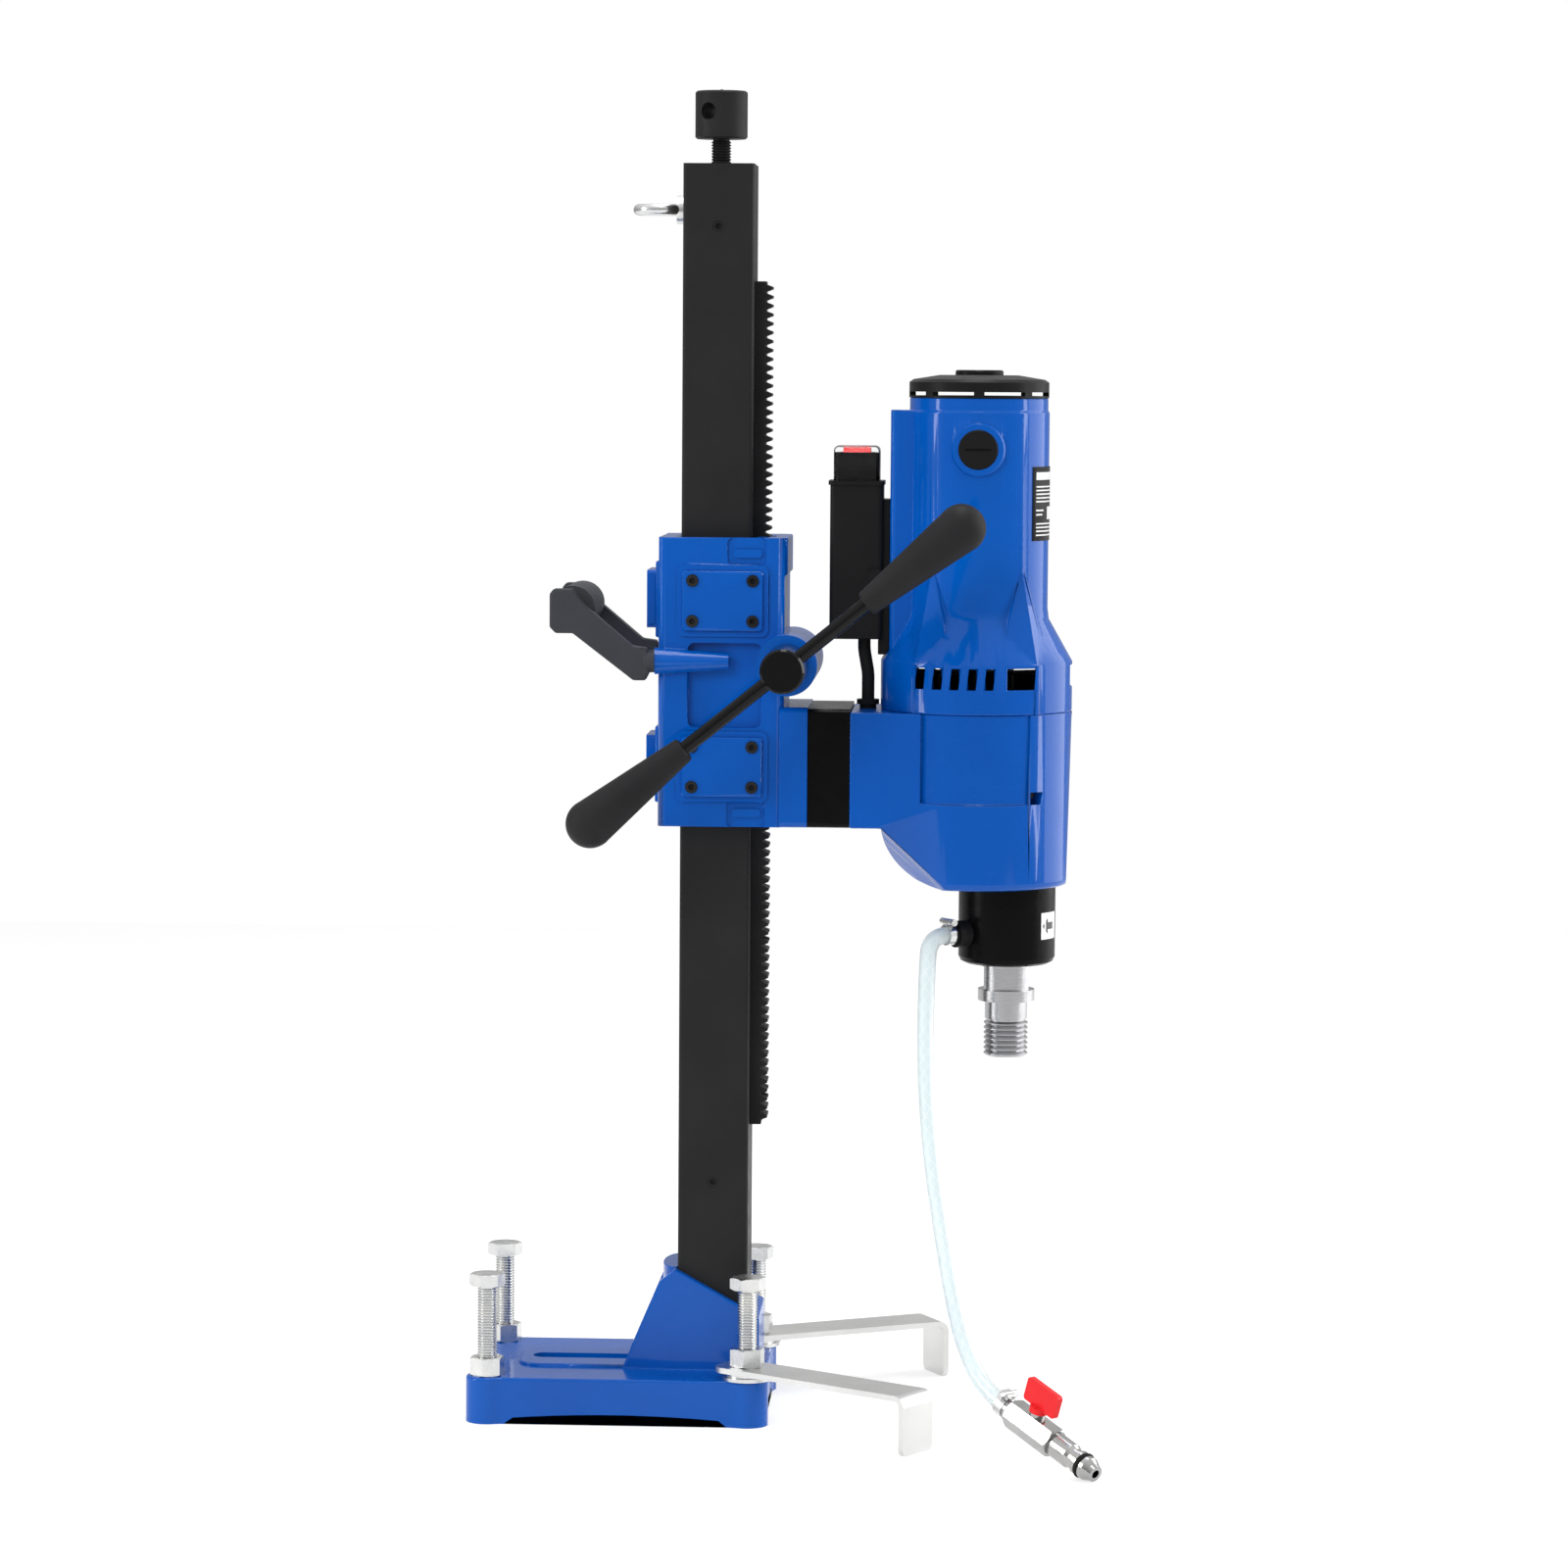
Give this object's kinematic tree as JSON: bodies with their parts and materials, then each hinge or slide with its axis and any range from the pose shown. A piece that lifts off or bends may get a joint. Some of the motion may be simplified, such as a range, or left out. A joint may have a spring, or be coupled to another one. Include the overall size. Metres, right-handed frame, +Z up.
{
  "type": "core drill rig",
  "caption": "Column drill stand with a rack-fed carriage, crank, levelling bolts and hold-down arms, carrying a water-fed electric core drill motor.",
  "frame": {"origin": "on the floor, under the middle of the rig's box, measured without the hose and tap", "axes": "+Z up the column, +X from the column to the drill, +Y away from the crank side"},
  "size_m": [0.4485, 0.3783, 0.9431],
  "materials": {
    "blue_paint": "glossy blue enamel over a casting",
    "black_steel": "satin black paint on steel",
    "black_aluminium": "black anodised aluminium",
    "aluminium": "machined",
    "zinc_steel": "zinc plated",
    "black_oxide": "black oxide",
    "gear_steel": "ground steel",
    "stainless": "brushed stainless strip",
    "black_plastic": "moulded black plastic",
    "grey_plastic": "moulded slate grey plastic",
    "grip_plastic": "soft matte black",
    "red_plastic": "glossy red",
    "rubber": "black rubber",
    "bronze": "sintered bronze",
    "slide_plastic": "natural low-friction plastic",
    "carbon": "carbon",
    "core_steel": "laminated core with windings",
    "nickel": "nickel plated brass",
    "hose_plastic": "clear pale aqua hose",
    "plate_print": "black label with plain pale bars"
  },
  "bodies": {
    "stand": {"base_casting": "blue_paint", "column_tube": "black_steel", "column_cap": "black_steel", "column_blocks": "aluminium", "column_tie_bolt": "zinc_steel", "column_set_screws": "black_oxide", "feed_rack": "black_oxide", "rack_screws": "black_oxide", "eye_bolt": "zinc_steel", "lock_nuts": "zinc_steel", "arm_washers": "zinc_steel", "tap_body": "nickel", "tap_nipple": "nickel", "tap_clamp": "zinc_steel"},
    "carriage": {"carriage_casting": "blue_paint", "guide_covers": "blue_paint", "rear_covers": "blue_paint", "cover_screws": "black_oxide", "slide_pads": "slide_plastic", "pinion_bushes": "bronze", "carry_handle": "grey_plastic", "handle_bolts": "zinc_steel", "spacer_block": "black_aluminium", "spacer_bolts": "zinc_steel", "gearbox_housing": "blue_paint", "gear_plate": "aluminium", "motor_housing": "blue_paint", "housing_screws": "black_oxide", "motor_cap": "black_plastic", "brush_caps": "black_plastic", "brush_holders": "bronze", "carbon_brushes": "carbon", "stator": "core_steel", "ball_bearings": "gear_steel", "water_collar": "black_aluminium", "collar_seals": "rubber", "water_inlet": "black_plastic", "inlet_clamp": "zinc_steel", "water_hose": "hose_plastic", "rating_plate": "plate_print", "switch_box": "black_plastic", "motor_cable": "rubber", "cable_grommet": "rubber"},
    "crank": {"feed_pinion": "gear_steel", "crank_hub": "black_steel", "crank_bar": "black_steel", "crank_grips": "grip_plastic"},
    "armature": {"armature": "core_steel", "cooling_fan": "black_plastic"},
    "idler": {"idler_gear": "gear_steel"},
    "spindle": {"spindle": "gear_steel"},
    "jack": {"jack_screw": "black_steel"},
    "arm_near": {"hold_down_arm_near": "stainless"},
    "arm_far": {"hold_down_arm_far": "stainless"},
    "rocker": {"rocker_switch": "red_plastic"},
    "tap_lever": {"tap_lever": "red_plastic"},
    "levelling_bolt_1": {"levelling_bolt_1": "zinc_steel"},
    "levelling_bolt_2": {"levelling_bolt_2": "zinc_steel"},
    "levelling_bolt_3": {"levelling_bolt_3": "zinc_steel"},
    "levelling_bolt_4": {"levelling_bolt_4": "zinc_steel"}
  },
  "joints": [
    {"name": "feed_slide", "type": "slide", "parent": "stand", "child": "carriage", "axis": [0, 0, 1], "range_m": [-0.245, 0.215], "deforming": ["water_hose"]},
    {"name": "crank_turn", "type": "hinge", "parent": "carriage", "child": "crank", "pos_m": [0.012, -0.11021, 0.5395], "axis": [0, -1, 0], "range_deg": [-880, 772]},
    {"name": "armature_spin", "type": "hinge", "parent": "carriage", "child": "armature", "pos_m": [0.1445, 0.00779, 0.6], "axis": [0, 0, 1], "continuous": true},
    {"name": "idler_spin", "type": "hinge", "parent": "carriage", "child": "idler", "pos_m": [0.14136, 0.03762, 0.42], "axis": [0, 0, 1], "continuous": true},
    {"name": "spindle_spin", "type": "hinge", "parent": "carriage", "child": "spindle", "pos_m": [0.168, 0.00779, 0.35], "axis": [0, 0, 1], "continuous": true},
    {"name": "jack_feed", "type": "slide", "parent": "stand", "child": "jack", "axis": [0, 0, 1], "range_m": [-0.015, 0.035]},
    {"name": "arm_near_swing", "type": "hinge", "parent": "stand", "child": "arm_near", "pos_m": [-0.0125, -0.05471, 0.04], "axis": [0, 0, 1], "range_deg": [-10, 24]},
    {"name": "arm_far_swing", "type": "hinge", "parent": "stand", "child": "arm_far", "pos_m": [-0.0125, 0.07029, 0.04], "axis": [0, 0, 1], "range_deg": [-17, 17]},
    {"name": "rocker_tilt", "type": "hinge", "parent": "carriage", "child": "rocker", "pos_m": [0.0585, 0.00779, 0.682], "axis": [1, 0, 0], "range_deg": [-16, 0]},
    {"name": "tap_lever_turn", "type": "hinge", "parent": "stand", "child": "tap_lever", "pos_m": [0.19276, -0.17904, 0.03845], "axis": [0.2253, -0.2411, 0.944], "range_deg": [0, 90]},
    {"name": "levelling_bolt_1_feed", "type": "slide", "parent": "stand", "child": "levelling_bolt_1", "axis": [0, 0, 1], "range_m": [-0.006, 0.025]},
    {"name": "levelling_bolt_2_feed", "type": "slide", "parent": "stand", "child": "levelling_bolt_2", "axis": [0, 0, 1], "range_m": [-0.006, 0.025]},
    {"name": "levelling_bolt_3_feed", "type": "slide", "parent": "stand", "child": "levelling_bolt_3", "axis": [0, 0, 1], "range_m": [-0.006, 0.025]},
    {"name": "levelling_bolt_4_feed", "type": "slide", "parent": "stand", "child": "levelling_bolt_4", "axis": [0, 0, 1], "range_m": [-0.006, 0.025]}
  ],
  "couplings": [
    {"joint": "crank_turn", "follows": "feed_slide", "rad_per_m": 62.5},
    {"joint": "idler_spin", "follows": "armature_spin", "ratio": -0.26316},
    {"joint": "spindle_spin", "follows": "armature_spin", "ratio": 0.11278}
  ]
}
